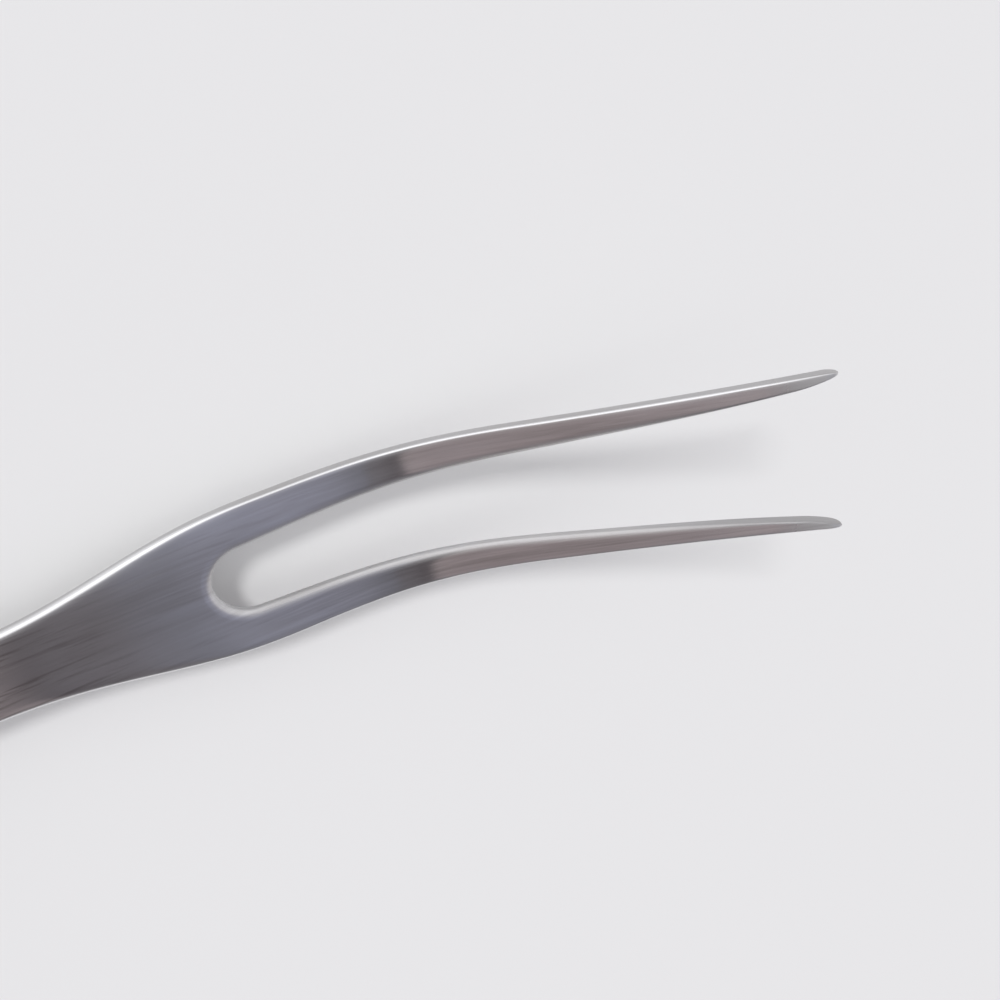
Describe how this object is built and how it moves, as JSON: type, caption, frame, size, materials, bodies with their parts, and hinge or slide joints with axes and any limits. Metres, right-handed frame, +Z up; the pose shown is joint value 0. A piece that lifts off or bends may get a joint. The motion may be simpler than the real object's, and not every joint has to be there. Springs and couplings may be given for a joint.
{
  "type": "carving fork",
  "caption": "Carving fork with long tapered tines bent up from a flat brushed-steel plate, its full tang held between riveted hardwood scales, for steadying and lifting a roast.",
  "frame": {"origin": "on the surface that the fork lies on, under the middle of its overall length", "axes": "+X along the fork towards the tips, +Y across it, +Z up, square to the plate's upper face, the way the tines bend"},
  "size_m": [0.2844, 0.0278, 0.0403],
  "materials": {
    "plate_steel": "satin stainless, brushed along its length, with polished edges",
    "scale_wood": "oiled dark hardwood, grain along the handle",
    "rivet_steel": "ground flush and polished"
  },
  "bodies": {
    "root": {"fork_plate": "plate_steel", "upper_scale": "scale_wood", "lower_scale": "scale_wood", "rivet_post_front": "rivet_steel", "rivet_post_middle": "rivet_steel", "rivet_post_rear": "rivet_steel", "rivet_sleeve_front": "rivet_steel", "rivet_sleeve_middle": "rivet_steel", "rivet_sleeve_rear": "rivet_steel"}
  },
  "joints": []
}
